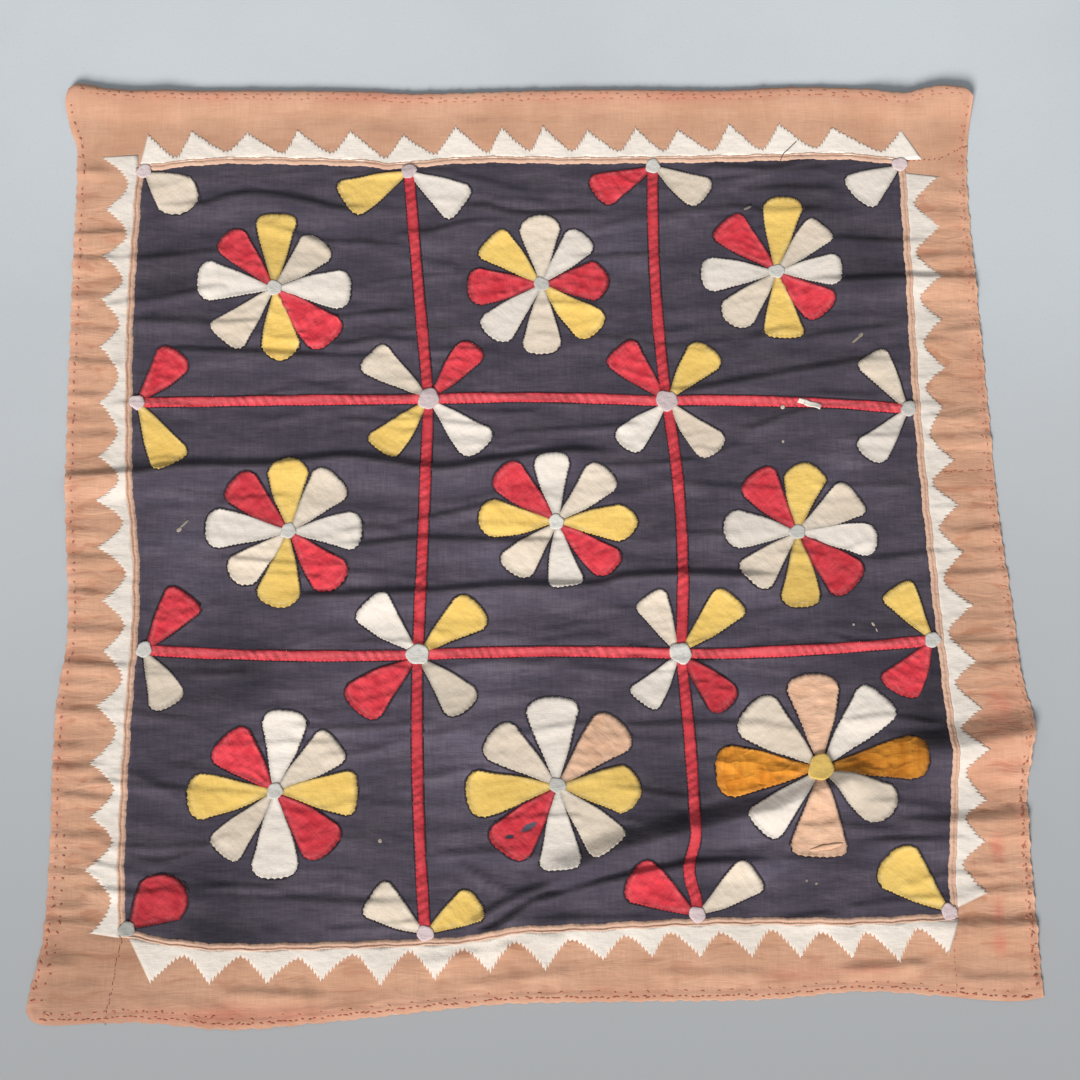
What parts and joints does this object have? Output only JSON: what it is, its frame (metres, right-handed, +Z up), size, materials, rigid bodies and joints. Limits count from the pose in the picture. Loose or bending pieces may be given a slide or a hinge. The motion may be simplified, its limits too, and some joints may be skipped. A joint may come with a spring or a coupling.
{
  "type": "applique panel",
  "caption": "Square hand-sewn cotton panel: applied flowers between red tapes on a dark ground, white saw-tooth strips and a hemmed peach border, lying flat with soft folds.",
  "frame": {"origin": "on the floor under the middle of the panel", "axes": "+Z up out of the face of the panel, +Y towards its top edge, +X towards its right edge"},
  "size_m": [0.962, 0.976, 0.014],
  "materials": {
    "indigo_cotton": "faded charcoal-indigo plain-weave cotton, matt",
    "peach_cotton": "peach-tan plain-weave cotton, matt",
    "edging_cotton": "narrow folded peach cotton, matt",
    "white_cotton": "off-white plain-weave cotton, matt",
    "red_cotton": "madder-red cotton, matt, a little faded",
    "yellow_cotton": "warm yellow cotton, matt",
    "ecru_cotton": "ecru cotton, matt",
    "orange_cotton": "orange cotton, matt"
  },
  "bodies": {
    "root": {"ground": "indigo_cotton", "border_top": "peach_cotton", "border_left": "peach_cotton", "border_right_upper": "peach_cotton", "border_right_lower": "peach_cotton", "border_bottom": "peach_cotton", "teeth_top": "white_cotton", "teeth_right": "white_cotton", "teeth_bottom": "white_cotton", "teeth_left": "white_cotton", "edging_top": "edging_cotton", "edging_right": "edging_cotton", "edging_bottom": "edging_cotton", "edging_left": "edging_cotton", "tape_across_1": "red_cotton", "tape_across_2": "red_cotton", "tape_across_3": "red_cotton", "tape_across_4": "red_cotton", "tape_across_5": "red_cotton", "tape_across_6": "red_cotton", "tape_down_1": "red_cotton", "tape_down_2": "red_cotton", "tape_down_3": "red_cotton", "tape_down_4": "red_cotton", "tape_down_5": "red_cotton", "tape_down_6": "red_cotton", "flower_1": "yellow_cotton", "flower_2": "ecru_cotton", "flower_3": "yellow_cotton", "flower_4": "yellow_cotton", "flower_5": "white_cotton", "flower_6": "yellow_cotton", "flower_7": "white_cotton", "flower_8": "white_cotton", "flower_9": "orange_cotton", "crossing_1": "red_cotton", "crossing_2": "white_cotton", "crossing_3": "yellow_cotton", "crossing_4": "ecru_cotton", "end_top_1": "yellow_cotton", "end_top_2": "red_cotton", "end_right_1": "ecru_cotton", "end_right_2": "red_cotton", "end_bottom_1": "ecru_cotton", "end_bottom_2": "red_cotton", "end_left_1": "red_cotton", "end_left_2": "red_cotton", "corner_top_left": "ecru_cotton", "corner_top_right": "ecru_cotton", "corner_bottom_left": "red_cotton", "corner_bottom_right": "yellow_cotton"}
  },
  "joints": []
}
